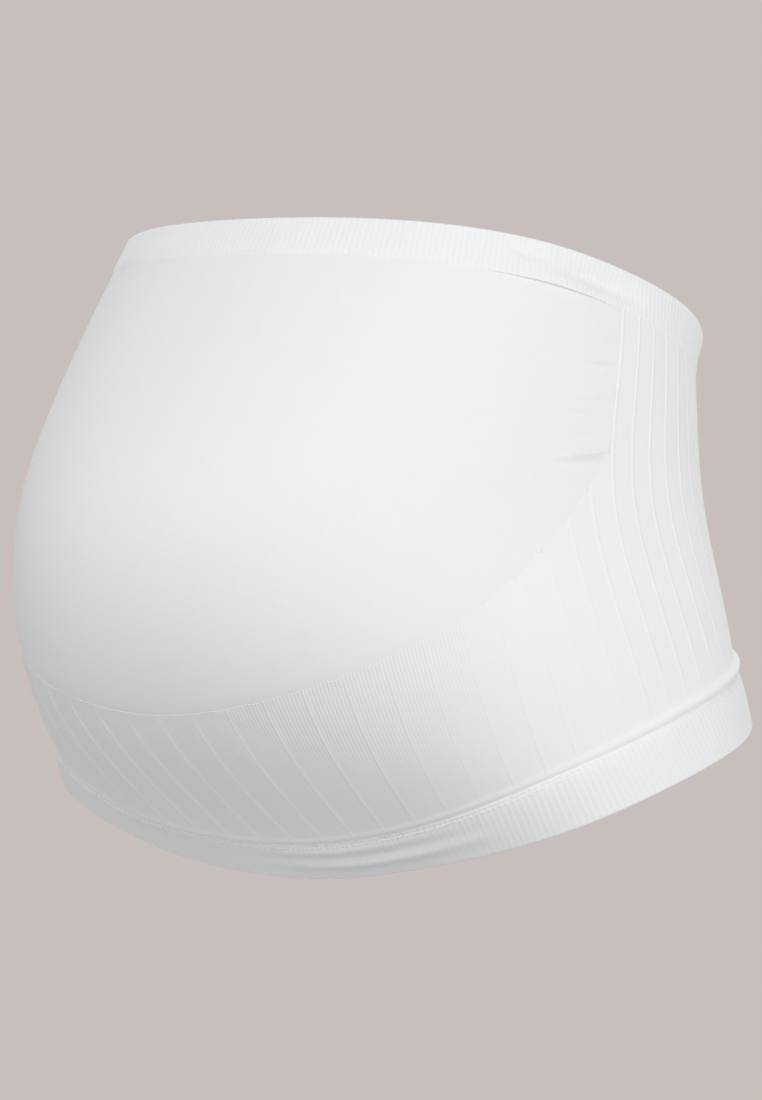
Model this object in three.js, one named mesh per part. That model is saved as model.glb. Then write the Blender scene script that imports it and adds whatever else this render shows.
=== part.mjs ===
// A seamless knitted maternity support belt, in the form that it takes when it is worn.
// It is one tube of white knit with four zones: a folded waistband, a smooth panel over the belly,
// a ribbed support panel under the belly and round the back, and a folded hem band.
// Millimetres, +Z up. The wearer faces -Y, and +X is the wearer's left side.
// The origin is on the wearer's body axis, at half the height of the belt.
import * as THREE from "three";

// The body that the belt is stretched over.
const HIP_WIDTH = 359;
const BELLY_REACH = 188;
const BACK_REACH = 117;
const BODY_TOP = 165;
const BODY_BOTTOM = -165;
const FRONT_SQUARENESS = 2.06;
const BACK_SQUARENESS = 2.3;

// Sections of that body: level is a share of the way up it, width a share of the hips' width, and
// front and back shares of the belly's and the back's reach.
const SECTIONS = [
  { level: 0.0, width: 0.98, front: 0.25, back: 0.97 },
  { level: 0.12, width: 1.0, front: 0.45, back: 0.97 },
  { level: 0.24, width: 0.98, front: 0.715, back: 0.95 },
  { level: 0.36, width: 0.96, front: 0.9, back: 0.94 },
  { level: 0.48, width: 0.92, front: 0.99, back: 0.88 },
  { level: 0.6, width: 0.865, front: 1.0, back: 0.86 },
  { level: 0.73, width: 0.825, front: 0.9, back: 0.91 },
  { level: 0.86, width: 0.78, front: 0.75, back: 0.98 },
  { level: 1.0, width: 0.7, front: 0.585, back: 1.02 },
];

// Heights of the two rims at the front, the sides and the back.
const TOP_RIM = { front: 159, side: 137, back: 84 };
const BOTTOM_RIM = { front: -138, side: -88, back: -52 };

// The lower rim is worn a little higher at the wearer's right, where the belly ends.
const RIM_RISE = 10;
const RISE_CENTRE = -0.165;
const RISE_REACH = 0.1;

// The bands, whose heights are lengths of cloth, and how far their rims stand off the body. A flare
// starts and is full at shares of the girth, and its turn is the power that it grows with.
const WAISTBAND_HEIGHT = 20;
const HEM_HEIGHT = 25;
const BAND_THICKNESS = 2.2;
const BAND_COLUMNS = 96;
const WAISTBAND_FLARE = { reach: 4.5, start: 0.22, full: 0.36, turn: 2 };
const HEM_FLARE = { reach: 5, start: 0.06, full: 0.2, turn: 0.7 };
const RIM_ROUNDING = 1.1;
const WAISTBAND_ROWS = [0, 0.5, 0.94];

// The panels. The belly panel's lower edge is a rounded U that ends at the sides of the body.
const PANEL_THICKNESS = 1.2;
const SUPPORT_THICKNESS = 1.5;
const PANEL_DIP = -61;
const PANEL_SIDE = 60;
const EDGE_SPREAD = 1.8;
const EDGE_TURN = 0.75;
const PANEL_ROWS = 8;
const SUPPORT_LOWER_ROWS = 3;
const SUPPORT_UPPER_ROWS = 2;
const SEAM_GAP = 0.4;

// The support panel's ribs. They are counted from the centre front: girth is the share of the half
// girth that has been passed at a share of the ribs, as the knit is stretched most over the belly.
const RIB_COUNT = 68;
const PANEL_RIBS = 13;
const RIB_WIDTH = 2.6;
const RIB_RELIEF = 0.8;
const RIB_SPREAD = [
  { count: 0.0, girth: 0.0 },
  { count: 0.15, girth: 0.21 },
  { count: 0.3, girth: 0.395 },
  { count: 0.45, girth: 0.54 },
  { count: 0.6, girth: 0.665 },
  { count: 0.8, girth: 0.835 },
  { count: 1.0, girth: 1.0 },
];

// The soft roll of cloth that the hem pushes up above its seam, from the sides round the back.
const ROLL_HEIGHT = 6;
const ROLL_RELIEF = 3.5;
const ROLL_START = 0.13;
const ROLL_FULL = 0.33;

// Two soft folds lie across the hem, below the belly, with hollows round them. Rise is a share of
// the hem's height.
const HEM_ROWS = [
  { rise: 0.05, relief: 0 },
  { rise: 0.42, relief: 1.6 },
  { rise: 0.6, relief: 0 },
  { rise: 0.78, relief: 1.2 },
  { rise: 1, relief: 0 },
];
const FOLD_CENTRE = 0.055;
const FOLD_REACH = 0.09;

// A short step, for slopes, and the number of steps that a length of cloth is laid out in.
const PROBE = 0.5;
const SHARE_PROBE = 0.0005;
const CLOTH_STEPS = 6;

// Half of a section through the body, from the centre front round +X to the centre back.
class HalfSection extends THREE.Curve {
  constructor(row) {
    super();
    this.halfWidth = (row.width * HIP_WIDTH) / 2;
    this.front = row.front * BELLY_REACH;
    this.back = row.back * BACK_REACH;
    this.height = THREE.MathUtils.lerp(BODY_BOTTOM, BODY_TOP, row.level);
  }

  getPoint(t, target = new THREE.Vector3()) {
    const angle = Math.PI * t;
    const inFront = angle < Math.PI / 2;
    const power = 2 / (inFront ? FRONT_SQUARENESS : BACK_SQUARENESS);
    const reach = inFront ? -this.front : this.back;
    const x = this.halfWidth * Math.abs(Math.sin(angle)) ** power;
    const y = reach * Math.abs(Math.cos(angle)) ** power;
    return target.set(x, y, this.height);
  }
}

const halfSections = SECTIONS.map((row) => new HalfSection(row));
const sectionHeights = halfSections.map((section) => section.height);
const widestGirth = 2 * Math.max(...halfSections.map((section) => section.getLength()));

// A place round the belt is a share of its girth: 0 is the centre front, a quarter is the wearer's
// left side and a half is the centre back. The wearer's right side has the same shares below 0.
function wrapped(share) {
  return share - Math.round(share);
}

// A wale is the line of cloth that runs up the body at one share of the girth.
const wales = new Map();
function waleAt(share) {
  const place = wrapped(share);
  if (!wales.has(place)) {
    const side = place < 0 ? -1 : 1;
    const points = halfSections.map((section) => section.getPointAt(2 * Math.abs(place)));
    const values = points.flatMap((point) => [side * point.x, point.y]);
    wales.set(place, new THREE.CubicInterpolant(sectionHeights, values, 2));
  }
  return wales.get(place);
}

function bodyPoint(share, height) {
  const [x, y] = waleAt(share).evaluate(height);
  return new THREE.Vector3(x, y, height);
}

function alongWale(share, height) {
  return bodyPoint(share, height + PROBE).sub(bodyPoint(share, height - PROBE)).normalize();
}

function outward(share, height) {
  const round = bodyPoint(share + SHARE_PROBE, height).sub(bodyPoint(share - SHARE_PROBE, height));
  return round.cross(alongWale(share, height)).normalize();
}

// The height that a length of cloth reaches up a wale, or down it where the length is negative.
function heightAlong(share, start, length) {
  let height = start;
  for (let step = 0; step < CLOTH_STEPS; step++) {
    height += (alongWale(share, height).z * length) / CLOTH_STEPS;
  }
  return height;
}

// A soft wave of height 1 round a place on the girth, that ends at its reach to both sides.
function softWave(share, centre, reach) {
  const distance = Math.min(Math.abs(wrapped(share - centre)) / reach, 1);
  return Math.cos((Math.PI / 2) * distance) ** 2;
}

// A rim's height round the belt, through its heights at the front, the sides and the back.
function rimHeight(rim, share) {
  const tilt = (rim.front - rim.back) / 2;
  const saddle = ((rim.front + rim.back) / 2 - rim.side) / 2;
  const middle = (rim.front + rim.back) / 2 - saddle;
  const angle = 2 * Math.PI * share;
  return middle + tilt * Math.cos(angle) + saddle * Math.cos(2 * angle);
}

function topRim(share) {
  return rimHeight(TOP_RIM, share);
}

function bottomRim(share) {
  return rimHeight(BOTTOM_RIM, share) + RIM_RISE * softWave(share, RISE_CENTRE, RISE_REACH);
}

function waistbandSeam(share, gap = 0) {
  return heightAlong(share, topRim(share), -WAISTBAND_HEIGHT - gap);
}

function hemSeam(share, gap = 0) {
  return heightAlong(share, bottomRim(share), HEM_HEIGHT + gap);
}

// Ribs, and the pairs of columns at their two feet.
const ribSpread = new THREE.CubicInterpolant(
  RIB_SPREAD.map((row) => row.count),
  RIB_SPREAD.map((row) => row.girth),
  1,
);
const ribFoot = RIB_WIDTH / 2 / widestGirth;

function ribShare(rib) {
  const [girth] = ribSpread.evaluate(Math.abs(rib) / (RIB_COUNT / 2));
  return (Math.sign(rib) * girth) / 2;
}

const panelSideShare = ribShare(PANEL_RIBS + 1) - ribFoot;

// How far up its run the belly panel's edge is, across from the centre front to its side.
function edgeRise(across) {
  const spread = Math.min(Math.abs(across), 1) ** EDGE_SPREAD;
  return 1 - (1 - spread) ** EDGE_TURN;
}

// How far a band's cloth stands off the body, at a share of the way from its seam to its rim.
function flareLift(flare, share, towardRim) {
  const grown = THREE.MathUtils.smoothstep(Math.abs(share), flare.start, flare.full);
  return flare.reach * grown * towardRim ** flare.turn;
}

function hemLift(share, { rise, relief }) {
  return flareLift(HEM_FLARE, share, 1 - rise) + relief * softWave(share, FOLD_CENTRE, FOLD_REACH);
}

function rollLift(share) {
  return ROLL_RELIEF * THREE.MathUtils.smoothstep(Math.abs(share), ROLL_START, ROLL_FULL);
}

// A wall of cloth. Each column has a share of the girth and a list of stations, from its lower edge
// to its upper edge: a height, the inner face's lift off the body and the cloth's thickness.
// The cells that hasCell names are filled, and the wall is closed at every edge of them.
function clothWall(columns, isRing, hasCell = () => true) {
  const positions = [];
  const indices = [];
  const numbers = new Map();

  function vertex(column, row, face) {
    const key = `${column} ${row} ${face}`;
    if (!numbers.has(key)) {
      const { share, stations } = columns[column];
      const { height, lift, thickness } = stations[row];
      const distance = lift + face * thickness;
      const point = bodyPoint(share, height).addScaledVector(outward(share, height), distance);
      numbers.set(key, positions.length / 3);
      positions.push(point.x, point.y, point.z);
    }
    return numbers.get(key);
  }

  function quad(a, b, c, d) {
    indices.push(a, b, c, a, c, d);
  }

  const lastColumn = isRing ? columns.length : columns.length - 1;
  const rowCells = columns[0].stations.length - 1;
  const ringColumn = (column) => (isRing ? (column + columns.length) % columns.length : column);

  function filled(column, row) {
    const cell = ringColumn(column);
    const inside = cell >= 0 && cell < lastColumn && row >= 0 && row < rowCells;
    return inside && hasCell(cell, row);
  }

  for (let left = 0; left < lastColumn; left++) {
    const right = ringColumn(left + 1);
    for (let low = 0; low < rowCells; low++) {
      if (!filled(left, low)) continue;
      const high = low + 1;
      const outer = [[left, low], [right, low], [right, high], [left, high]];
      const beyond = [[left, low - 1], [left + 1, low], [left, high], [left - 1, low]];
      quad(...outer.map(([column, row]) => vertex(column, row, 1)));
      quad(...outer.toReversed().map(([column, row]) => vertex(column, row, 0)));
      outer.forEach((start, side) => {
        if (filled(...beyond[side])) return;
        const end = outer[(side + 1) % outer.length];
        quad(vertex(...start, 0), vertex(...end, 0), vertex(...end, 1), vertex(...start, 1));
      });
    }
  }

  const geometry = new THREE.BufferGeometry();
  geometry.setAttribute("position", new THREE.Float32BufferAttribute(positions, 3));
  geometry.setIndex(indices);
  geometry.computeVertexNormals();
  return geometry;
}

// A folded band keeps its full thickness up to the rim, where it is rounded over.
function bandStation(height, lift) {
  return { height, lift, thickness: BAND_THICKNESS };
}

function rimStation(height, lift) {
  return { height, lift: lift + RIM_ROUNDING / 2, thickness: BAND_THICKNESS - RIM_ROUNDING };
}

function bandShares() {
  return Array.from({ length: BAND_COLUMNS }, (_, column) => wrapped(column / BAND_COLUMNS));
}

function waistbandColumn(share) {
  const rim = topRim(share);
  const stations = WAISTBAND_ROWS.map((rise) => {
    const height = heightAlong(share, rim, (rise - 1) * WAISTBAND_HEIGHT);
    return bandStation(height, flareLift(WAISTBAND_FLARE, share, rise));
  });
  stations.push(rimStation(rim, flareLift(WAISTBAND_FLARE, share, 1)));
  return { share, stations };
}

function hemColumn(share) {
  const rim = bottomRim(share);
  const stations = HEM_ROWS.map((row) => {
    const height = heightAlong(share, rim, row.rise * HEM_HEIGHT);
    return bandStation(height, hemLift(share, row));
  });
  stations.unshift(rimStation(rim, flareLift(HEM_FLARE, share, 1)));
  return { share, stations };
}

function waistband() {
  return clothWall(bandShares().map(waistbandColumn), true);
}

function hemBand() {
  return clothWall(bandShares().map(hemColumn), true);
}

// Heights from one to another in even steps, without the first.
function evenHeights(low, high, count) {
  return Array.from({ length: count }, (_, row) => THREE.MathUtils.lerp(low, high, (row + 1) / count));
}

// The height of the belly panel's edge or, behind the sides, of the line that carries it on round
// the back, at the same share of the way from the hem to the waistband.
const sideHem = hemSeam(panelSideShare);
const shoulderRise = (PANEL_SIDE - sideHem) / (waistbandSeam(panelSideShare) - sideHem);

function shoulderHeight(share, bottom, top) {
  if (Math.abs(share) < panelSideShare) {
    return THREE.MathUtils.lerp(PANEL_DIP, PANEL_SIDE, edgeRise(share / panelSideShare));
  }
  return THREE.MathUtils.lerp(bottom, top, shoulderRise);
}

// The support panel is a ring from the hem up to the belly panel's edge, and carries on up to the
// waistband behind the sides. Its ribs are raised lines that run up the wales. The crest of the
// roll above the hem is its second row.
function supportColumn(share, relief) {
  const bottom = hemSeam(share, SEAM_GAP);
  const top = waistbandSeam(share, SEAM_GAP);
  const shoulder = shoulderHeight(share, bottom, top);
  const crest = heightAlong(share, bottom, ROLL_HEIGHT);
  const rollTop = heightAlong(share, crest, ROLL_HEIGHT);
  const lower = evenHeights(rollTop, shoulder, SUPPORT_LOWER_ROWS);
  const upper = evenHeights(shoulder, top, SUPPORT_UPPER_ROWS);
  const stations = [bottom, crest, rollTop, ...lower, ...upper].map((height) => ({
    height,
    lift: height === crest ? rollLift(share) : 0,
    thickness: SUPPORT_THICKNESS + relief,
  }));
  return { share, stations };
}

function supportPanel() {
  const columns = [];
  for (let rib = -RIB_COUNT / 2; rib < RIB_COUNT / 2; rib++) {
    const middle = ribShare(rib);
    columns.push(supportColumn(wrapped(middle - ribFoot), 0));
    columns.push(supportColumn(middle, RIB_RELIEF));
    columns.push(supportColumn(middle + ribFoot, 0));
  }
  const shoulderRow = columns[0].stations.length - 1 - SUPPORT_UPPER_ROWS;
  const behindSide = (share) => Math.abs(share) >= panelSideShare;
  const isBehind = (column) => {
    const next = columns[(column + 1) % columns.length];
    return behindSide(columns[column].share) && behindSide(next.share);
  };
  return clothWall(columns, true, (column, row) => row < shoulderRow || isBehind(column));
}

// The smooth panel over the belly. Its columns stand at the ribs' feet, so that the two edges follow
// each other, and its outline is drawn in from the support panel's by the seam gap.
function bellyColumn(share) {
  const across = share / panelSideShare;
  const place = across * (panelSideShare - SEAM_GAP / widestGirth);
  const bottom = THREE.MathUtils.lerp(PANEL_DIP + SEAM_GAP, PANEL_SIDE, edgeRise(across));
  const top = waistbandSeam(place, SEAM_GAP);
  const heights = [bottom, ...evenHeights(bottom, top, PANEL_ROWS)];
  const stations = heights.map((height) => ({ height, lift: 0, thickness: PANEL_THICKNESS }));
  return { share: place, stations };
}

function bellyPanel() {
  const shares = [-panelSideShare];
  for (let rib = -PANEL_RIBS; rib <= PANEL_RIBS; rib++) {
    shares.push(ribShare(rib) - ribFoot, ribShare(rib) + ribFoot);
  }
  shares.push(panelSideShare);
  return clothWall(shares.map(bellyColumn), false);
}

// White knit, a little brighter where it is smooth and stretched.
function knit(color, roughness) {
  return new THREE.MeshStandardMaterial({ color, roughness, metalness: 0, flatShading: true });
}

function piece(name, geometry, material) {
  const mesh = new THREE.Mesh(geometry, material);
  mesh.name = name;
  return mesh;
}

const belt = new THREE.Group();
belt.name = "maternity_support_belt";
belt.add(
  piece("waistband", waistband(), knit(0xeef0f3, 0.9)),
  piece("belly_panel", bellyPanel(), knit(0xebedf0, 0.85)),
  piece("support_panel", supportPanel(), knit(0xe9ebef, 0.9)),
  piece("hem_band", hemBand(), knit(0xe8eaed, 0.9)),
);

export default belt;
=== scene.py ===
"""Looks of a knitted maternity support belt, in the form that it has when it is worn.

Each zone of the knit is a closed wall of cloth that replaces its CAD solid. Lengths are millimetres
in the tables, as in the part's source, and metres in Blender. A place round the belt is a share of
its girth: 0 is the centre front, 0.25 the wearer's left side and 0.5 the centre back.
"""

import math

import bpy
import numpy as np
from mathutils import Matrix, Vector

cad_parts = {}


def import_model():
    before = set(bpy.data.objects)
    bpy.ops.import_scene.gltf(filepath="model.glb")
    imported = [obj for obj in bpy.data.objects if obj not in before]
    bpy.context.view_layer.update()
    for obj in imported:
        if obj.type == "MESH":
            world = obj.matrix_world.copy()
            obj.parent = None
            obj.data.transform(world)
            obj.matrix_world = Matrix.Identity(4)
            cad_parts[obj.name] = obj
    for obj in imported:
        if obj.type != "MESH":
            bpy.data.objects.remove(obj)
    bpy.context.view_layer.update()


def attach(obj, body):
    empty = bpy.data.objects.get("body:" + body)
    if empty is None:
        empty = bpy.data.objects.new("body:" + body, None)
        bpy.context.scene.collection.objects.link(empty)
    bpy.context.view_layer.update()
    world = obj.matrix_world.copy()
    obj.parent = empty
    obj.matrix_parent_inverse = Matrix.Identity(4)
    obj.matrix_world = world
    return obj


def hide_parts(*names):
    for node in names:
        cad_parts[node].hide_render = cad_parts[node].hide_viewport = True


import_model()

MM = 0.001

# The body's form that the knit is stretched over, as in the part's source.
HIP_WIDTH = 359
BELLY_REACH = 188
BACK_REACH = 117
BODY_TOP = 165
BODY_BOTTOM = -165
FRONT_SQUARENESS = 2.06
BACK_SQUARENESS = 2.3
# Its sections, from the bottom up. The level is a share of the body's height, the width of HIP_WIDTH,
# the front of BELLY_REACH and the back of BACK_REACH.
SECTIONS = [
    {"level": 0.0, "width": 0.98, "front": 0.25, "back": 0.97},
    {"level": 0.12, "width": 1.0, "front": 0.45, "back": 0.97},
    {"level": 0.24, "width": 0.98, "front": 0.715, "back": 0.95},
    {"level": 0.36, "width": 0.96, "front": 0.9, "back": 0.94},
    {"level": 0.48, "width": 0.92, "front": 0.99, "back": 0.88},
    {"level": 0.6, "width": 0.865, "front": 1.0, "back": 0.86},
    {"level": 0.73, "width": 0.825, "front": 0.9, "back": 0.91},
    {"level": 0.86, "width": 0.78, "front": 0.75, "back": 0.98},
    {"level": 1.0, "width": 0.7, "front": 0.585, "back": 1.02},
]

# The rims' heights, and the place where the lower rim is worn higher.
TOP_RIM = {"front": 159, "side": 137, "back": 84}
BOTTOM_RIM = {"front": -138, "side": -88, "back": -52}
RIM_RISE = {"height": 10, "centre": -0.165, "reach": 0.1}

# The bands, and how far their rims stand off the body from one share of the girth to another. The
# overhang is the waistband's lower edge, which lies over the panel beside the belly.
WAISTBAND_HEIGHT = 20
HEM_HEIGHT = 25
BAND_THICKNESS = 2.2
WAISTBAND_FLARE = {"reach": 4.5, "start": 0.22, "full": 0.36, "turn": 2}
HEM_FLARE = {"reach": 5, "start": 0.06, "full": 0.2, "turn": 0.7}
OVERHANG = {"reach": 1.3, "centre": 0.205, "width": 0.05, "from_rise": 0.55}

# The panels, and the belly panel's lower edge: its lowest height and its height at the sides.
PANEL_THICKNESS = 1.2
SUPPORT_THICKNESS = 1.5
PANEL_DIP = -61
PANEL_SIDE = 60
EDGE_SPREAD = 1.8
EDGE_TURN = 0.75
PANEL_EASE = 0.2
PANEL_OVERLAP = 0.8
SUPPORT_CLEARANCE = 0.1

# The support panel's ribs. The spread says what share of the half girth holds a part of its ribs.
RIB_COUNT = 68
PANEL_RIBS = 13
PANEL_SIDE_RIB = PANEL_RIBS + 0.9
RIB_SPREAD = [
    {"part": 0.0, "girth": 0.0},
    {"part": 0.15, "girth": 0.21},
    {"part": 0.3, "girth": 0.395},
    {"part": 0.45, "girth": 0.54},
    {"part": 0.6, "girth": 0.665},
    {"part": 0.8, "girth": 0.835},
    {"part": 1.0, "girth": 1.0},
]
RIB_WIDTH = 2.6
RIB_RELIEF = 0.5
RIB_TIP = 9.0
LEAST_PITCH = 8

# Where the ribs are stretched flat beside the belly, and how much lower they are at the sides.
FLAT_RIBS = {"loss": 0.75, "centre": 0.145, "reach": 0.1}
SIDE_RIBS = {"loss": 0.5, "start": 0.17, "full": 0.22}

# The groove beside each rib under the belly. Its offset and width are shares of a rib's width, and
# the rest shares of the girth.
GROOVE = {"depth": 0.35, "offset": 0.6, "width": 0.45, "centre": -0.06, "start": 0.08, "full": 0.16}

# The length of cloth above the hem in which a rib rises, in front and where the roll is.
RIB_FOOT = {"start": 0.5, "full": 5}
ROLLED_RIB_FOOT = {"start": 7.5, "full": 16, "from_share": 0.13, "to_share": 0.33}

# The knit. Wales run up the body and courses round it; a rib's repeat is a fixed number of wales.
WALES_PER_RIB = 11
BAND_RIBS = 300
BAND_RIB_COLUMNS = 5
BAND_RIB_RELIEF = 0.09
COURSE_HEIGHT = 1.1
EDGE_STEPS_PER_RIB = 6
EDGE_MARGIN = 4.0
TUCK = 0.6
SEAM_FALL = 0.7
SEAM_REACH = 4.0

# Soft forms: the roll above the hem, its small start in front, and the hem's folds.
ROLL = {"height": 4.5, "relief": 2.8, "start": 0.17, "full": 0.36}
FRONT_ROLL = {"height": 2.475, "relief": 0.5}
HEM_FOLDS = [
    {"rise": 0.42, "relief": 2.0, "width": 0.19, "centre": 0.065, "reach": 0.1},
    {"rise": 0.78, "relief": 1.5, "width": 0.17, "centre": 0.055, "reach": 0.09},
]

# Soft dents in the waistband at the wearer's left. Rise is a share of its height, from its rim.
WAISTBAND_DENTS = [
    {"rise": 0.35, "relief": -1.9, "width": 0.28, "centre": 0.187, "reach": 0.02},
    {"rise": 0.5, "relief": -3.1, "width": 0.45, "centre": 0.237, "reach": 0.045},
]

# Pulls in the belly panel beside its side edge, on the wearer's left and, lower, the right. Their
# centre and reach are shares of their length, and the hollow below each is in widths of a pull.
PULLS = [
    {"height": 103, "relief": 0.35, "length": 20, "tilt": 0.10},
    {"height": 94, "relief": 0.6, "length": 24, "tilt": 0.08},
    {"height": 79, "relief": 0.4, "length": 24, "tilt": 0.05},
    {"height": 73, "relief": 0.3, "length": 34, "tilt": 0.03},
    {"height": 63, "relief": 0.3, "length": 28, "tilt": 0.02},
    {"height": 54, "relief": 0.8, "length": 32, "tilt": -0.06},
]
PULL_CENTRE = 0.55
PULL_REACH = 0.8
PULL_HOLLOW = {"depth": 0.7, "offset": 1.4}
RIGHT_PULLS = 0.7
PULL_WIDTH = 1.9

# Stitches that hold the hem: two rows of short tubes. They sink into the knit beside the roll.
STITCH_LENGTH = 2.6
STITCH_PITCH = 3.2
STITCH_THICKNESS = 0.42
STITCH_LIFT = 0.36
STITCH_SINK = {"depth": 0.42, "start": 0.12, "full": 0.2}
STITCH_STAGGER = 0.5
STITCH_SIDES = 6
STITCH_ROWS = [-1.0, -2.6]
STITCH_RINGS = [
    {"along": -0.5, "lift": 0.2, "radius": 0.3},
    {"along": -0.42, "lift": 0.6, "radius": 0.85},
    {"along": -0.15, "lift": 1.0, "radius": 1.0},
    {"along": 0.15, "lift": 1.0, "radius": 1.0},
    {"along": 0.42, "lift": 0.6, "radius": 0.85},
    {"along": 0.5, "lift": 0.2, "radius": 0.3},
]

# How fine the meshes are: rows in millimetres of cloth, offsets in ribs from the nearest rib.
OUTLINE_POINTS = 801
LENGTH_LEVELS = 67
CLIMB_STEPS = 8
SHARE_STEP = 0.0005
HEIGHT_STEP = 0.5
SHARP_ANGLE = math.radians(60)
LEAST_ROUNDING = 0.02
BAND_EDGE_ROWS = [0, 0.12, 0.35, 0.7, 1.1]
BAND_MARGIN = 1.6
BAND_MIDDLE_ROWS = 15
BAND_RIB_FADE = (0.2, 1.4)
RIB_OFFSETS = [-0.4, -0.25, -0.14, -0.105, -0.075, -0.045, -0.02, 0.0, 0.025, 0.055, 0.1, 0.2, 0.3]
ROLL_ROWS = [0, 0.6, 1.2, 2.0, 3.0, 4.0, 5.0, 6.0, 7.0, 8.2, 9.6, 11.2, 13.0]
SUPPORT_LOWER_ROWS = 18
SUPPORT_UPPER_ROWS = 9
BELLY_COLUMNS = 331
BELLY_ROWS = 120

# The photograph's camera.
CAMERA_AZIMUTH = math.radians(42)
CAMERA_ELEVATION = math.radians(0.63)
CAMERA_DISTANCE = 2.075
CAMERA_LENS = 144.5
AIM_RIGHT = -0.0076
AIM_UP = 0.0107
SENSOR_WIDTH = 36
CLIP_END = 200

# Looks of the knit: how deep its wales, courses and fuzz are as bump, how much painted shade darkens it
# between the wales, and what share of the wales is left at the sides and the back, where the knit relaxes.
BAND_LOOK = {
    "wales": 0.0, "courses": 0.05, "fuzz": 0.2,
    "groove": 0.06, "side_share": 1.0, "roughness": 0.85,
}
HEM_LOOK = {
    "wales": 0.0, "courses": 0.05, "fuzz": 0.2,
    "groove": 0.2, "side_share": 0.3, "roughness": 0.85,
}
SMOOTH_LOOK = {
    "wales": 0.02, "courses": 0.04, "fuzz": 0.15,
    "groove": 0.01, "side_share": 1.0, "roughness": 0.75,
}
RIBBED_LOOK = {
    "wales": 0.22, "courses": 0.08, "fuzz": 0.12,
    "groove": 0.22, "side_share": 0.12, "roughness": 0.8,
}
WHITE = (0.89, 0.895, 0.905, 1)
COOL_WHITE = (0.865, 0.875, 0.89, 1)
BAND_WHITE = (0.93, 0.945, 0.96, 1)
# The ribbed knit's white is a little lighter than the belly's: painted light that evens out the painted
# shade between its wales and the shade of its bump.
RIBBED_WHITE = (0.91, 0.915, 0.925, 1)
# Painted shade: the grey that the knit's colour is mixed towards between the wales.
GROOVE_SHADE = (0.5, 0.52, 0.54, 1)
RELAXED_FROM = (-0.155, -0.085)
COURSE_LEAN = 2.5
FUZZ_SCALE = 1400.0
BLOTCH_SCALE = 14.0
KNIT_DEPTH = 0.00022
ROUGHNESS_CHANGE = 0.12
SHEEN = {"Sheen Weight": 0.15, "Sheen Roughness": 0.5, "Specular IOR Level": 0.3}
THREAD_WHITE = (0.93, 0.935, 0.94, 1)
THREAD_SHADE = (0.82, 0.83, 0.84, 1)
TWIST_SCALE = 2500.0
TWIST_STRENGTH = 0.6
TWIST_DEPTH = 0.0001
THREAD_ROUGHNESS = 0.6

# Backdrop, floor and light. The lights are placed by the photograph's own directions, in metres.
BACKDROP = (0.578, 0.521, 0.503)
FLOOR_COLOUR = (0.74, 0.67, 0.65, 1)
GROUND_GLOW = 0.56
SKY_GLOW = 0.3
FLOOR_LEVEL = -0.42
FLOOR_RADIUS = 30
FLOOR_FADE = (0.5, 1.5)
FLOOR_ROUGHNESS = 0.9
LIGHTS = [
    {"name": "front", "right": -0.6, "up": 1.1, "toward_camera": 2.1, "size": 2.2, "energy": 37.5},
    {"name": "side", "right": 2.2, "up": -0.1, "toward_camera": 0.6, "size": 2.0, "energy": 25},
    {"name": "back", "right": 0.2, "up": 2.0, "toward_camera": -1.8, "size": 1.6, "energy": 30},
]


# The body and the lines of cloth on it.


def curvatures(knots, values):
    """Second derivatives, at the knots, of the natural cubic spline through each column of values."""
    count = len(knots)
    steps = np.diff(knots)
    matrix = np.eye(count)
    right = np.zeros_like(values)
    for k in range(1, count - 1):
        matrix[k, k - 1 : k + 2] = steps[k - 1], 2 * (steps[k - 1] + steps[k]), steps[k]
        slopes = (values[k + 1] - values[k]) / steps[k] - (values[k] - values[k - 1]) / steps[k - 1]
        right[k] = 6 * slopes
    return np.linalg.solve(matrix, right)


def spline(knots, values, bends, at):
    """The spline of each column of values, at that column of heights."""
    low = np.clip(np.searchsorted(knots, at) - 1, 0, len(knots) - 2)
    column = np.arange(values.shape[1])[None, :]
    step = knots[low + 1] - knots[low]
    b = (at - knots[low]) / step
    a = 1 - b
    bend = (a**3 - a) * bends[low, column] + (b**3 - b) * bends[low + 1, column]
    return a * values[low, column] + b * values[low + 1, column] + bend * step**2 / 6


SECTION_HEIGHTS = BODY_BOTTOM + (BODY_TOP - BODY_BOTTOM) * np.array([row["level"] for row in SECTIONS])


def section_outlines():
    """Half outlines of the sections, from the centre front to the centre back, with their lengths."""
    angle = np.linspace(0, np.pi, OUTLINE_POINTS)
    in_front = angle < np.pi / 2
    power = 2 / np.where(in_front, FRONT_SQUARENESS, BACK_SQUARENESS)
    outlines = []
    for row in SECTIONS:
        reach = np.where(in_front, -row["front"] * BELLY_REACH, row["back"] * BACK_REACH)
        x = row["width"] * HIP_WIDTH / 2 * np.abs(np.sin(angle)) ** power
        y = reach * np.abs(np.cos(angle)) ** power
        lengths = np.concatenate([[0], np.cumsum(np.hypot(np.diff(x), np.diff(y)))])
        outlines.append((x, y, lengths))
    return outlines


OUTLINES = section_outlines()
WIDEST_GIRTH = 2 * max(lengths[-1] for _, _, lengths in OUTLINES)


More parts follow.
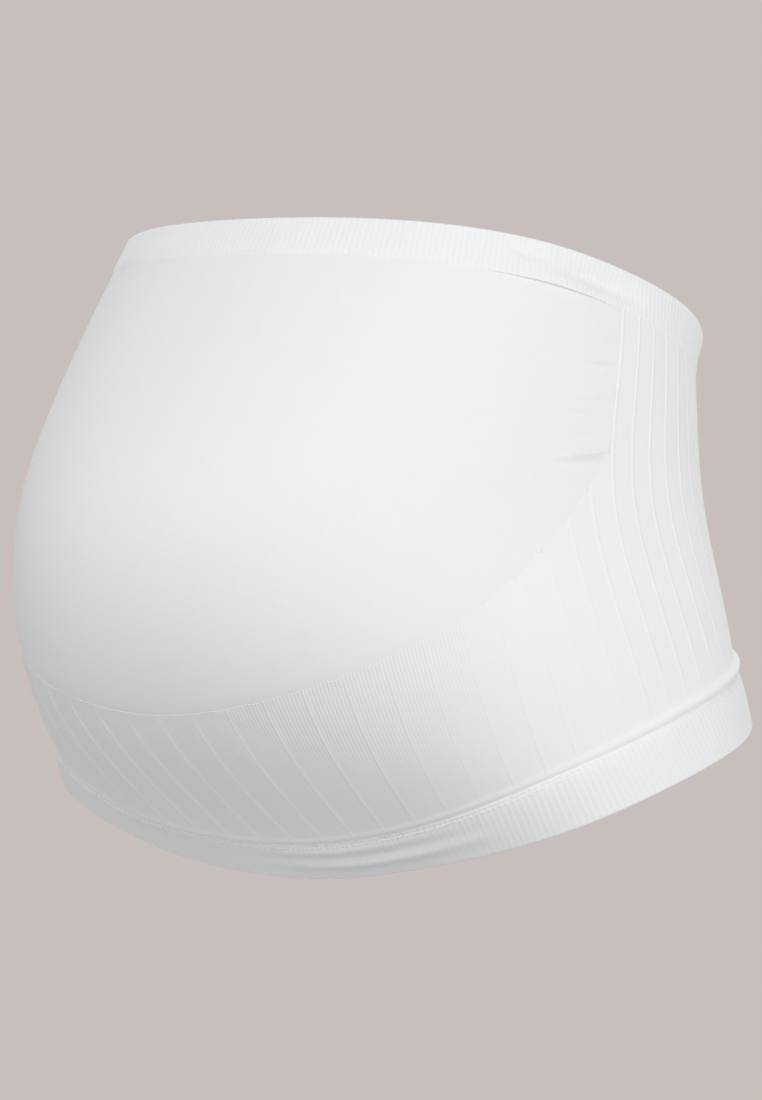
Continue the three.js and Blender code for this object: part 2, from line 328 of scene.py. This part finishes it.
class Wales:
    """The lines of cloth that run up the body at some shares of the girth."""

    def __init__(self, shares):
        self.shares = shares - np.round(shares)
        side = np.where(self.shares < 0, -1, 1)
        part = 2 * np.abs(self.shares)
        self.x = np.array([side * np.interp(part * l[-1], l, x) for x, _, l in OUTLINES])
        self.y = np.array([np.interp(part * l[-1], l, y) for _, y, l in OUTLINES])
        self.x_bends = curvatures(SECTION_HEIGHTS, self.x)
        self.y_bends = curvatures(SECTION_HEIGHTS, self.y)

    def points(self, heights):
        """Points at a grid of heights: a row for each height and a column for each wale."""
        x = spline(SECTION_HEIGHTS, self.x, self.x_bends, heights)
        y = spline(SECTION_HEIGHTS, self.y, self.y_bends, heights)
        return np.stack([x, y, heights], -1)

    def outward(self, heights):
        """Unit normals of the body at a grid of heights."""
        right = Wales(self.shares + SHARE_STEP).points(heights)
        left = Wales(self.shares - SHARE_STEP).points(heights)
        along = self.points(heights + HEIGHT_STEP) - self.points(heights - HEIGHT_STEP)
        normals = np.cross(right - left, along)
        return normals / np.linalg.norm(normals, axis=-1, keepdims=True)

    def climb(self, start, length):
        """Heights that a length of cloth reaches up each wale, or down it if it is negative."""
        height = np.array(start, dtype=float)
        for _ in range(CLIMB_STEPS):
            along = self.points(height[None] + HEIGHT_STEP) - self.points(height[None] - HEIGHT_STEP)
            height = height + along[0, :, 2] / np.linalg.norm(along[0], axis=-1) * length / CLIMB_STEPS
        return height


def cloth_length(wales, heights):
    """Length of cloth up each wale from the body's bottom to a grid of heights."""
    levels = np.linspace(BODY_BOTTOM, BODY_TOP, LENGTH_LEVELS)
    grid = wales.points(np.repeat(levels[:, None], len(wales.shares), axis=1))
    steps = np.linalg.norm(np.diff(grid, axis=0), axis=-1)
    lengths = np.concatenate([np.zeros((1, grid.shape[1])), np.cumsum(steps, axis=0)])
    place = (heights - BODY_BOTTOM) / (levels[1] - levels[0])
    low = np.clip(place.astype(int), 0, len(levels) - 2)
    column = np.arange(grid.shape[1])[None, :]
    part = place - low
    return lengths[low, column] * (1 - part) + lengths[low + 1, column] * part


def smoothstep(value, low, high):
    """A smooth step from 0 at the low value to 1 at the high one."""
    t = np.clip((value - low) / (high - low), 0, 1)
    return t * t * (3 - 2 * t)


def bump(distance):
    """A smooth hump that is 1 at no distance and 0 from a distance of 1 on."""
    return np.cos(np.pi / 2 * np.clip(np.abs(distance), 0, 1)) ** 2


def rim_heights(rim, shares):
    """Heights of a tilted, saddle-shaped rim."""
    tilt = (rim["front"] - rim["back"]) / 2
    saddle = ((rim["front"] + rim["back"]) / 2 - rim["side"]) / 2
    middle = (rim["front"] + rim["back"]) / 2 - saddle
    angle = 2 * np.pi * shares
    return middle + tilt * np.cos(angle) + saddle * np.cos(2 * angle)


def top_rim(shares):
    return rim_heights(TOP_RIM, shares)


def bottom_rim(shares):
    """The lower rim, which is worn a little higher at the wearer's right."""
    rise = RIM_RISE["height"] * bump((shares - RIM_RISE["centre"]) / RIM_RISE["reach"])
    return rim_heights(BOTTOM_RIM, shares) + rise


def waistband_seam(wales, tuck=0.0):
    return wales.climb(top_rim(wales.shares), -WAISTBAND_HEIGHT + tuck)


def hem_seam(wales, tuck=0.0):
    return wales.climb(bottom_rim(wales.shares), HEM_HEIGHT - tuck)


RIB_KNOTS = np.array([row["part"] for row in RIB_SPREAD])
RIB_VALUES = np.array([[row["girth"]] for row in RIB_SPREAD])
RIB_BENDS = curvatures(RIB_KNOTS, RIB_VALUES)


def rib_share(ribs):
    """The share of the girth at a count of ribs from the centre front, which needn't be whole."""
    part = np.abs(np.atleast_1d(ribs)) / (RIB_COUNT / 2)
    girth = [spline(RIB_KNOTS, RIB_VALUES, RIB_BENDS, np.array([[p]]))[0, 0] for p in part]
    return np.sign(ribs) * np.array(girth) / 2


PANEL_SIDE_SHARE = rib_share(PANEL_SIDE_RIB)[0]


def panel_edge(ribs):
    """Height of the belly panel's lower edge."""
    across = np.clip(np.abs(rib_share(ribs)) / PANEL_SIDE_SHARE, 0, 1)
    rise = 1 - (1 - across**EDGE_SPREAD) ** EDGE_TURN
    return PANEL_DIP + rise * (PANEL_SIDE - PANEL_DIP)


def stepped_edge(ribs):
    """The same edge in the small steps that a knitted shape has."""
    return panel_edge(np.round(np.asarray(ribs) * EDGE_STEPS_PER_RIB) / EDGE_STEPS_PER_RIB)


# Walls of cloth.


def cloth_wall(name, node, outer, inner, uv, ring=False, present=None):
    """A closed wall between two grids of points. present says which of their cells are filled."""
    rows, columns = outer.shape[:2]
    wide = columns if ring else columns - 1
    if present is None:
        present = np.ones((rows - 1, wide), dtype=bool)
    numbers = np.arange(rows * columns).reshape(rows, columns)
    right = np.roll(numbers, -1, axis=1)
    corners = np.stack([numbers[:-1], right[:-1], right[1:], numbers[1:]], -1)[:, :wide]
    inside = rows * columns
    padded = np.pad(present, 1)
    if ring:
        padded[1:-1, 0] = present[:, -1]
        padded[1:-1, -1] = present[:, 0]
    beyond = [padded[:-2, 1:-1], padded[1:-1, 2:], padded[2:, 1:-1], padded[1:-1, :-2]]
    faces = [corners[present], corners[present][:, ::-1] + inside]
    for side in range(4):
        open_cells = corners[present & ~beyond[side]]
        start, end = open_cells[:, side], open_cells[:, (side + 1) % 4]
        faces.append(np.stack([start + inside, end + inside, end, start], -1))
    faces = np.concatenate(faces)
    points = np.concatenate([outer.reshape(-1, 3), inner.reshape(-1, 3)]) * MM
    uvs = np.concatenate([uv.reshape(-1, 2)] * 2)
    used, faces = np.unique(faces, return_inverse=True)
    return cloth_object(name, node, points[used], faces.reshape(-1, 4), uvs[used], ring)


def cloth_object(name, node, points, faces, uvs, ring):
    """The wall as an object that replaces its CAD solid, with the knit's count as its UV layer."""
    mesh = bpy.data.meshes.new(name)
    mesh.from_pydata(points.tolist(), [], faces.tolist())
    layer = mesh.uv_layers.new(name="knit")
    loops = uvs[faces.ravel()].reshape(-1, 4, 2)
    if ring:
        span = uvs[:, 0].max() - uvs[:, 0].min()
        first = loops[:, :, 0].max(axis=1, keepdims=True)
        loops[:, :, 0] += np.where(first - loops[:, :, 0] > span / 2, np.ceil(span), 0)
    layer.data.foreach_set("uv", loops.ravel())
    mesh.polygons.foreach_set("use_smooth", [True] * len(faces))
    mesh.set_sharp_from_angle(angle=SHARP_ANGLE)
    mesh.update()
    piece = bpy.data.objects.new(name, mesh)
    bpy.context.scene.collection.objects.link(piece)
    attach(piece, "root")
    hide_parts(node)
    return piece


def edge_rounding(distance, radius):
    """How much of the cloth's thickness is left at a distance from an edge that is rounded over."""
    part = 1 - np.clip(distance / radius, 0, 1)
    return np.sqrt(np.clip(1 - part**2, LEAST_ROUNDING, 1))


# The four zones of the knit.


def band_rows(height):
    """Lengths of cloth from a band's rim to its seam, closer together at both edges."""
    middle = np.linspace(BAND_MARGIN, height - BAND_MARGIN, BAND_MIDDLE_ROWS)
    return np.concatenate([BAND_EDGE_ROWS, middle, height - np.array(BAND_EDGE_ROWS[::-1])])


def band(name, node, rim, height, upward, lift_of):
    """A folded band of one-by-one ribs, from its rim up or down to its seam."""
    columns = BAND_RIBS * BAND_RIB_COLUMNS
    place = np.arange(columns) / columns
    wales = Wales(place)
    rim_level = rim(wales.shares)
    lengths = band_rows(height)
    direction = 1 if upward else -1
    heights = np.array([wales.climb(rim_level, direction * length) for length in lengths])
    rise = (lengths / height)[:, None]
    near_edge = np.minimum(lengths, height - lengths)[:, None]
    thickness = BAND_THICKNESS * edge_rounding(lengths[:, None], BAND_THICKNESS / 2)
    thickness = thickness - SEAM_FALL * smoothstep(lengths[:, None], height - SEAM_REACH, height)
    ribs = BAND_RIB_RELIEF * np.cos(2 * np.pi * BAND_RIBS * place)[None, :]
    fade = smoothstep(near_edge, *BAND_RIB_FADE)
    lift = lift_of(wales.shares[None, :], rise)
    outward = wales.outward(heights)
    points = wales.points(heights)
    rounded = (BAND_THICKNESS - thickness) / 2 * (1 - rise)
    outer = points + outward * (lift + thickness + rounded + ribs * fade)[..., None]
    inner = points + outward * (lift + rounded)[..., None]
    u = np.broadcast_to(place * BAND_RIBS, heights.shape)
    v = np.broadcast_to(lengths[:, None], heights.shape)
    uv = np.stack([u, v], -1)
    if not upward:
        outer, inner, uv = outer[::-1], inner[::-1], uv[::-1]
    return cloth_wall(name, node, outer, inner, uv, ring=True)


def soft_forms(forms, share, rise):
    """The relief of a table of soft folds or dents."""
    relief = 0
    for form in forms:
        along = bump((share - form["centre"]) / form["reach"])
        relief = relief + form["relief"] * along * bump((rise - form["rise"]) / form["width"])
    return relief


def flare(form, share, rise):
    """How far a band's rim stands off the body."""
    round_body = smoothstep(np.abs(share), form["start"], form["full"])
    return form["reach"] * round_body * (1 - rise) ** form["turn"]


def waistband_lift(share, rise):
    across = bump((np.abs(share) - OVERHANG["centre"]) / OVERHANG["width"])
    overhang = OVERHANG["reach"] * across * smoothstep(rise, OVERHANG["from_rise"], 1.0)
    return flare(WAISTBAND_FLARE, share, rise) + overhang + soft_forms(WAISTBAND_DENTS, share, rise)


def hem_lift(share, rise):
    return flare(HEM_FLARE, share, rise) + soft_forms(HEM_FOLDS, share, rise)


def roll_lift(share, length):
    """The soft roll of cloth that the hem pushes up above its seam."""
    size = smoothstep(np.abs(share), ROLL["start"], ROLL["full"])
    height = FRONT_ROLL["height"] + (ROLL["height"] - FRONT_ROLL["height"]) * size
    relief = FRONT_ROLL["relief"] + (ROLL["relief"] - FRONT_ROLL["relief"]) * size
    return relief * bump(length / height - 1)


def rib_strength(shares):
    """What is left of the ribs' relief where the knit is stretched flat, and at the sides and back."""
    flat = FLAT_RIBS["loss"] * bump((np.abs(shares) - FLAT_RIBS["centre"]) / FLAT_RIBS["reach"])
    lower = SIDE_RIBS["loss"] * smoothstep(np.abs(shares), SIDE_RIBS["start"], SIDE_RIBS["full"])
    return 1 - flat - lower


def rib_relief(ribs, shares):
    """The raised line of each rib, with a groove beside it where the knit is stretched over the front."""
    pitch = np.abs(rib_share(ribs + 0.5) - rib_share(ribs - 0.5)) * WIDEST_GIRTH
    distance = (ribs - np.round(ribs)) * np.maximum(pitch, LEAST_PITCH)
    in_front = 1 - smoothstep(np.abs(shares - GROOVE["centre"]), GROOVE["start"], GROOVE["full"])
    ridge = RIB_RELIEF * rib_strength(shares) * bump(2 * distance / RIB_WIDTH)
    beside = (distance / RIB_WIDTH + GROOVE["offset"]) / GROOVE["width"]
    return ridge - GROOVE["depth"] * in_front * bump(beside)


def rib_foot(shares, lengths):
    """How much of the ribs has risen at a length of cloth above the hem."""
    rolled = smoothstep(np.abs(shares), ROLLED_RIB_FOOT["from_share"], ROLLED_RIB_FOOT["to_share"])
    start = RIB_FOOT["start"] + (ROLLED_RIB_FOOT["start"] - RIB_FOOT["start"]) * rolled
    full = RIB_FOOT["full"] + (ROLLED_RIB_FOOT["full"] - RIB_FOOT["full"]) * rolled
    return smoothstep(lengths, start, full)


def support_rows(wales, ribs):
    """Heights up the support panel: close at the roll, then even to the panel's edge and the waistband."""
    bottom = hem_seam(wales, TUCK)
    top = waistband_seam(wales, TUCK)
    side = Wales(np.array([PANEL_SIDE_SHARE]))
    side_bottom, side_top = hem_seam(side)[0], waistband_seam(side)[0]
    shoulder = (PANEL_SIDE - side_bottom) / (side_top - side_bottom)
    in_front = np.abs(ribs) < PANEL_SIDE_RIB
    smooth_edge = np.where(in_front, panel_edge(ribs), bottom + shoulder * (top - bottom))
    edge = np.where(in_front, stepped_edge(ribs), smooth_edge)
    roll = [wales.climb(bottom, length) for length in ROLL_ROWS]
    near_edge = smooth_edge - EDGE_MARGIN
    lower = [roll[-1] + (near_edge - roll[-1]) * part for part in np.linspace(0, 1, SUPPORT_LOWER_ROWS)[1:]]
    lower.append(edge)
    upper = [edge + (top - edge) * part for part in np.linspace(0, 1, SUPPORT_UPPER_ROWS)[1:]]
    return np.array(roll + lower + upper), len(roll) + len(lower) - 1


def support_panel():
    """The ribbed panel: all round up to the belly panel's edge, and only behind it above that."""
    whole = np.arange(-RIB_COUNT // 2, RIB_COUNT // 2)[:, None] + np.array(RIB_OFFSETS)[None, :]
    ribs = np.sort(whole.ravel())
    shares = rib_share(ribs)
    wales = Wales(shares)
    heights, shoulder_row = support_rows(wales, ribs)
    cloth = cloth_length(wales, heights)
    lengths = cloth - cloth[:1]
    lift = roll_lift(wales.shares[None, :], lengths)
    relief = rib_relief(ribs, wales.shares)[None, :] * rib_foot(wales.shares[None, :], lengths)
    below_edge = heights[shoulder_row] - heights
    in_front = np.abs(ribs) < PANEL_SIDE_RIB
    relief = np.where(in_front[None, :], relief * smoothstep(below_edge, 0.0, RIB_TIP), relief)
    points = wales.points(heights)
    outward = wales.outward(heights)
    outer = points + outward * (lift + SUPPORT_THICKNESS + relief)[..., None]
    inner = points + outward * (lift + SUPPORT_CLEARANCE)[..., None]
    uv = np.stack([np.broadcast_to(ribs * WALES_PER_RIB, heights.shape), cloth], -1)
    behind_cell = ~in_front & ~np.roll(in_front, -1)
    rows = np.arange(heights.shape[0] - 1)[:, None]
    present = (rows < shoulder_row) | behind_cell[None, :]
    return cloth_wall("support_panel_knit", "support_panel", outer, inner, uv, ring=True, present=present)


def pull_relief(shares, heights):
    """Small pulls that run into the belly panel from its side edges."""
    relief = np.zeros_like(heights)
    inward = (PANEL_SIDE_SHARE - np.abs(shares))[None, :] * WIDEST_GIRTH
    for pull in PULLS:
        centre = pull["height"] + pull["tilt"] * inward
        along = bump((inward - PULL_CENTRE * pull["length"]) / (PULL_REACH * pull["length"]))
        across = (heights - centre) / PULL_WIDTH
        ridge = bump(across) - PULL_HOLLOW["depth"] * bump(across + PULL_HOLLOW["offset"])
        strength = np.where(shares > 0, 1.0, RIGHT_PULLS)[None, :]
        relief += pull["relief"] * along * ridge * strength
    return relief


def belly_panel():
    """The smooth panel, with its stepped lower edge tucked a little under the support panel."""
    steps = PANEL_SIDE_RIB * np.linspace(-1, 1, BELLY_COLUMNS)
    shares = rib_share(steps) * (1 + PANEL_OVERLAP / WIDEST_GIRTH / PANEL_SIDE_SHARE)
    wales = Wales(shares)
    low = panel_edge(steps)
    top = waistband_seam(wales, TUCK)
    parts = np.linspace(0, 1, BELLY_ROWS)[:, None]
    inside = (low + EDGE_MARGIN) * (1 - parts) + top * parts
    edge = stepped_edge(steps)[None]
    # The lowest row goes down behind the support panel's edge, so that no gap shows there.
    heights = np.concatenate([edge - 3 * TUCK, edge + TUCK / 3, inside])
    points = wales.points(heights)
    outward = wales.outward(heights)
    relief = pull_relief(wales.shares, heights)
    relief[0] -= TUCK
    outer = points + outward * (PANEL_THICKNESS + PANEL_EASE + relief)[..., None]
    inner = points + outward * np.maximum(relief, 0)[..., None]
    uv = np.stack([np.broadcast_to(steps * WALES_PER_RIB, heights.shape), cloth_length(wales, heights)], -1)
    return cloth_wall("belly_panel_knit", "belly_panel", outer, inner, uv)


def stitch_rings(drop):
    """Rings of points round every stitch of one row: a row of them for each stitch."""
    count = int(WIDEST_GIRTH / STITCH_PITCH)
    centres = (np.arange(count) + STITCH_STAGGER * STITCH_ROWS.index(drop)) / count
    angles = 2 * np.pi * np.arange(STITCH_SIDES)[:, None, None] / STITCH_SIDES
    seam_fall = SEAM_FALL * smoothstep(SEAM_REACH + drop, 0, SEAM_REACH)
    rings = []
    for ring in STITCH_RINGS:
        wales = Wales(centres + ring["along"] * STITCH_LENGTH / WIDEST_GIRTH)
        heights = wales.climb(hem_seam(wales), drop)[None]
        rise = np.array([[1 + drop / HEM_HEIGHT]])
        beside_roll = smoothstep(np.abs(wales.shares[None, :]), STITCH_SINK["start"], STITCH_SINK["full"])
        sunk = STITCH_SINK["depth"] * beside_roll
        base = BAND_THICKNESS - seam_fall + hem_lift(wales.shares[None, :], rise) - sunk
        outward = wales.outward(heights)[0]
        middle = wales.points(heights)[0] + outward * (base + ring["lift"] * STITCH_LIFT)[0][:, None]
        up = np.cross(outward, np.cross([0, 0, 1], outward))
        up /= np.linalg.norm(up, axis=-1, keepdims=True)
        around = np.cos(angles) * up + np.sin(angles) * outward
        rings.append(middle + around * ring["radius"] * STITCH_THICKNESS / 2)
    return np.concatenate(rings).transpose(1, 0, 2)


def stitch_faces():
    """Faces of one stitch: quads between its rings and a cap at each end."""
    faces = []
    for ring in range(len(STITCH_RINGS) - 1):
        for side in range(STITCH_SIDES):
            a = ring * STITCH_SIDES + side
            b = ring * STITCH_SIDES + (side + 1) % STITCH_SIDES
            faces.append((a, a + STITCH_SIDES, b + STITCH_SIDES, b))
    last = (len(STITCH_RINGS) - 1) * STITCH_SIDES
    faces.append(tuple(range(STITCH_SIDES)))
    faces.append(tuple(reversed(range(last, last + STITCH_SIDES))))
    return faces


def stitch_rows():
    """Two rows of stitches just under the hem's seam, as one mesh."""
    stitches = np.concatenate([stitch_rings(drop) for drop in STITCH_ROWS])
    size = stitches.shape[1]
    pattern = stitch_faces()
    faces = [tuple(v + size * number for v in face) for number in range(len(stitches)) for face in pattern]
    mesh = bpy.data.meshes.new("hem_stitches")
    mesh.from_pydata((stitches.reshape(-1, 3) * MM).tolist(), [], faces)
    mesh.polygons.foreach_set("use_smooth", [True] * len(faces))
    mesh.update()
    piece = bpy.data.objects.new("hem_stitches", mesh)
    bpy.context.scene.collection.objects.link(piece)
    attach(piece, "root")
    return piece


# Materials.


class Nodes:
    """A short way to write a material's nodes. A key such as i2 is the input with that number."""

    def __init__(self, name):
        self.material = bpy.data.materials.new(name)
        self.material.use_nodes = True
        self.tree = self.material.node_tree
        self.shader = self.tree.nodes["Principled BSDF"]

    def add(self, kind, **inputs):
        node = self.tree.nodes.new(kind)
        for key, value in inputs.items():
            self.put(node, key, value)
        return node

    def put(self, node, key, value):
        socket = node.inputs[int(key[1:])] if key[0] == "i" and key[1:].isdigit() else node.inputs[key]
        if isinstance(value, bpy.types.NodeSocket):
            self.tree.links.new(value, socket)
        else:
            socket.default_value = value

    def math(self, operation, a, b=0.0, c=0.0):
        node = self.add("ShaderNodeMath", i0=a, i1=b, i2=c)
        node.operation = operation
        return node.outputs[0]

    def noise(self, coordinate, scale, detail=2.0):
        return self.add("ShaderNodeTexNoise", Vector=coordinate, Scale=scale, Detail=detail).outputs["Fac"]

    def mix(self, factor, a, b):
        node = self.tree.nodes.new("ShaderNodeMix")
        node.data_type = "RGBA"
        for socket, value in ((0, factor), (6, a), (7, b)):
            if isinstance(value, bpy.types.NodeSocket):
                self.tree.links.new(value, node.inputs[socket])
            else:
                node.inputs[socket].default_value = value
        return node.outputs[2]


def knit_material(name, light, shade, look):
    """White knit: wales and courses as bump, soft colour changes, and more shade between the wales."""
    n = Nodes(name)
    uv = n.tree.nodes.new("ShaderNodeUVMap")
    uv.uv_map = "knit"
    split = n.add("ShaderNodeSeparateXYZ", Vector=uv.outputs["UV"])
    wale, course = split.outputs["X"], split.outputs["Y"]
    place = n.tree.nodes.new("ShaderNodeTexCoord").outputs["Object"]
    depth = n.add("ShaderNodeSeparateXYZ", Vector=place).outputs["Y"]
    fade = {"i1": RELAXED_FROM[0], "i2": RELAXED_FROM[1], "i3": 1.0, "i4": look["side_share"]}
    front = n.add("ShaderNodeMapRange", i0=depth, **fade).outputs[0]
    wale_wave = n.math("COSINE", n.math("MULTIPLY", wale, 2 * math.pi))
    wale_wave = n.math("MULTIPLY", wale_wave, front)
    lean = n.math("ABSOLUTE", n.math("SINE", n.math("MULTIPLY", wale, math.pi)))
    rows = n.math("MULTIPLY", course, 2 * math.pi / COURSE_HEIGHT)
    course_wave = n.math("SINE", n.math("ADD", rows, n.math("MULTIPLY", lean, COURSE_LEAN)))
    course_wave = n.math("MULTIPLY", course_wave, front)
    fuzz = n.noise(place, FUZZ_SCALE)
    height = n.math("MULTIPLY", wale_wave, look["wales"])
    height = n.math("ADD", height, n.math("MULTIPLY", course_wave, look["courses"]))
    height = n.math("ADD", height, n.math("MULTIPLY", fuzz, look["fuzz"]))
    relief = n.add("ShaderNodeBump", Strength=1.0, Distance=KNIT_DEPTH, Height=height)
    n.put(n.shader, "Normal", relief.outputs["Normal"])
    blotch = n.noise(place, BLOTCH_SCALE)
    colour = n.mix(blotch, light, shade)
    # Painted shade between the wales: the colour is mixed towards a grey in the hollows of the wale wave,
    # less where the knit relaxes at the sides and back.
    low = n.math("MULTIPLY", n.math("SUBTRACT", front, wale_wave), 0.5 * look["groove"])
    colour = n.mix(low, colour, GROOVE_SHADE)
    n.put(n.shader, "Base Color", colour)
    smoothest = look["roughness"] - ROUGHNESS_CHANGE / 2
    n.put(n.shader, "Roughness", n.math("MULTIPLY_ADD", fuzz, ROUGHNESS_CHANGE, smoothest))
    for key, value in SHEEN.items():
        n.put(n.shader, key, value)
    return n.material


def thread_material():
    """White sewing thread, a little shaded by its twist."""
    n = Nodes("hem_thread")
    place = n.tree.nodes.new("ShaderNodeTexCoord").outputs["Object"]
    twist = n.noise(place, TWIST_SCALE)
    n.put(n.shader, "Base Color", n.mix(twist, THREAD_WHITE, THREAD_SHADE))
    relief = n.add("ShaderNodeBump", Strength=TWIST_STRENGTH, Distance=TWIST_DEPTH, Height=twist)
    n.put(n.shader, "Normal", relief.outputs["Normal"])
    n.put(n.shader, "Roughness", THREAD_ROUGHNESS)
    return n.material


def dress(piece, material):
    piece.data.materials.clear()
    piece.data.materials.append(material)


# Floor, light and camera.


def floor():
    """A plain pale floor that passes into the backdrop's colour away from the belt."""
    centre = (0, 0, FLOOR_LEVEL)
    bpy.ops.mesh.primitive_circle_add(vertices=96, radius=FLOOR_RADIUS, fill_type="NGON", location=centre)
    plane = bpy.context.active_object
    plane.name = "floor"
    n = Nodes("floor")
    place = n.tree.nodes.new("ShaderNodeTexCoord").outputs["Object"]
    distance = n.add("ShaderNodeVectorMath", i0=place)
    distance.operation = "LENGTH"
    far = n.add("ShaderNodeMapRange", i0=distance.outputs["Value"], i1=FLOOR_FADE[0], i2=FLOOR_FADE[1])
    far.interpolation_type = "SMOOTHSTEP"
    glow = n.add("ShaderNodeEmission", Color=(*BACKDROP, 1))
    n.put(n.shader, "Base Color", FLOOR_COLOUR)
    n.put(n.shader, "Roughness", FLOOR_ROUGHNESS)
    blend = n.tree.nodes.new("ShaderNodeMixShader")
    links = n.tree.links
    links.new(far.outputs[0], blend.inputs[0])
    links.new(n.shader.outputs[0], blend.inputs[1])
    links.new(glow.outputs[0], blend.inputs[2])
    links.new(blend.outputs[0], n.tree.nodes["Material Output"].inputs["Surface"])
    plane.data.materials.append(n.material)
    plane.visible_diffuse = False


def world():
    """The backdrop's plain colour to the camera, and a soft glow from below and above to the knit."""
    scene = bpy.context.scene
    scene.world = bpy.data.worlds.new("backdrop")
    scene.world.use_nodes = True
    tree = scene.world.node_tree
    seen = tree.nodes["Background"]
    seen.inputs["Color"].default_value = (*BACKDROP, 1)
    glow = tree.nodes.new("ShaderNodeBackground")
    direction = tree.nodes.new("ShaderNodeTexCoord")
    split = tree.nodes.new("ShaderNodeSeparateXYZ")
    shade = tree.nodes.new("ShaderNodeMapRange")
    for socket, value in zip(shade.inputs[1:5], (-1, 1, GROUND_GLOW, SKY_GLOW)):
        socket.default_value = value
    tree.links.new(direction.outputs["Generated"], split.inputs[0])
    tree.links.new(split.outputs["Z"], shade.inputs[0])
    tree.links.new(shade.outputs[0], glow.inputs["Color"])
    path = tree.nodes.new("ShaderNodeLightPath")
    blend = tree.nodes.new("ShaderNodeMixShader")
    tree.links.new(path.outputs["Is Camera Ray"], blend.inputs[0])
    tree.links.new(glow.outputs[0], blend.inputs[1])
    tree.links.new(seen.outputs[0], blend.inputs[2])
    tree.links.new(blend.outputs[0], tree.nodes["World Output"].inputs["Surface"])
    scene.view_settings.view_transform = "Standard"


CAMERA_BACK = Vector((
    math.sin(CAMERA_AZIMUTH) * math.cos(CAMERA_ELEVATION),
    -math.cos(CAMERA_AZIMUTH) * math.cos(CAMERA_ELEVATION),
    math.sin(CAMERA_ELEVATION),
))
CAMERA_RIGHT = Vector((math.cos(CAMERA_AZIMUTH), math.sin(CAMERA_AZIMUTH), 0))
UP = Vector((0, 0, 1))


def soft_light(name, right, up, toward_camera, size, energy):
    """A square area light, placed by the photograph's own directions and aimed at the belt."""
    data = bpy.data.lights.new(name, "AREA")
    data.shape = "SQUARE"
    data.size = size
    data.energy = energy
    light = bpy.data.objects.new(name, data)
    light.location = CAMERA_RIGHT * right + UP * up + CAMERA_BACK * toward_camera
    light.rotation_mode = "QUATERNION"
    light.rotation_quaternion = light.location.to_track_quat("Z", "Y")
    bpy.context.scene.collection.objects.link(light)


def camera():
    data = bpy.data.cameras.new("camera")
    data.lens = CAMERA_LENS
    data.sensor_width = SENSOR_WIDTH
    data.clip_end = CLIP_END
    shot = bpy.data.objects.new("camera", data)
    shot.location = CAMERA_BACK * CAMERA_DISTANCE
    aim = CAMERA_RIGHT * AIM_RIGHT + UP * AIM_UP
    shot.rotation_mode = "QUATERNION"
    shot.rotation_quaternion = (aim - shot.location).to_track_quat("-Z", "Y")
    bpy.context.scene.collection.objects.link(shot)
    bpy.context.scene.camera = shot


world()
camera()
floor()
for light in LIGHTS:
    soft_light(**light)

waistband = band("waistband_knit", "waistband", top_rim, WAISTBAND_HEIGHT, False, waistband_lift)
hem = band("hem_band_knit", "hem_band", bottom_rim, HEM_HEIGHT, True, hem_lift)
support = support_panel()
belly = belly_panel()
stitches = stitch_rows()

dress(waistband, knit_material("waistband_knit", BAND_WHITE, COOL_WHITE, BAND_LOOK))
dress(hem, knit_material("hem_knit", WHITE, COOL_WHITE, HEM_LOOK))
dress(belly, knit_material("belly_knit", WHITE, COOL_WHITE, SMOOTH_LOOK))
dress(support, knit_material("support_knit", RIBBED_WHITE, WHITE, RIBBED_LOOK))
dress(stitches, thread_material())
